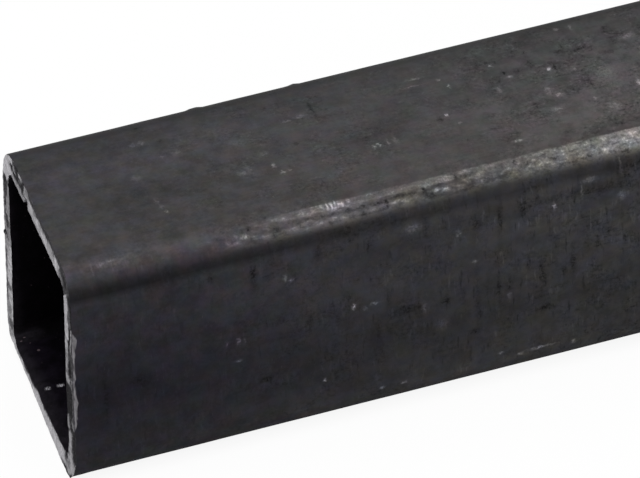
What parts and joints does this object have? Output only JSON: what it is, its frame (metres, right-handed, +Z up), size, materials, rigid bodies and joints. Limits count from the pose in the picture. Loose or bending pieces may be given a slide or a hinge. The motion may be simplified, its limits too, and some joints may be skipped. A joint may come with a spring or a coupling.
{
  "type": "square metal tube",
  "caption": "Length of square steel tube with rolled corners, an inner weld seam, dark mill scale and a rough sawn end, open right through.",
  "frame": {"origin": "on the underside, midway along the length and across the width", "axes": "+X along the tube, from the rough sawn end to the clean end; +Y across it; +Z up"},
  "size_m": [0.6116, 0.0508, 0.0508],
  "materials": {
    "mill_scale_steel": "dark blue-black mill scale as rolled, worn brighter along the corners, bare where sawn"
  },
  "bodies": {
    "root": {"square_tube": "mill_scale_steel"}
  },
  "joints": []
}
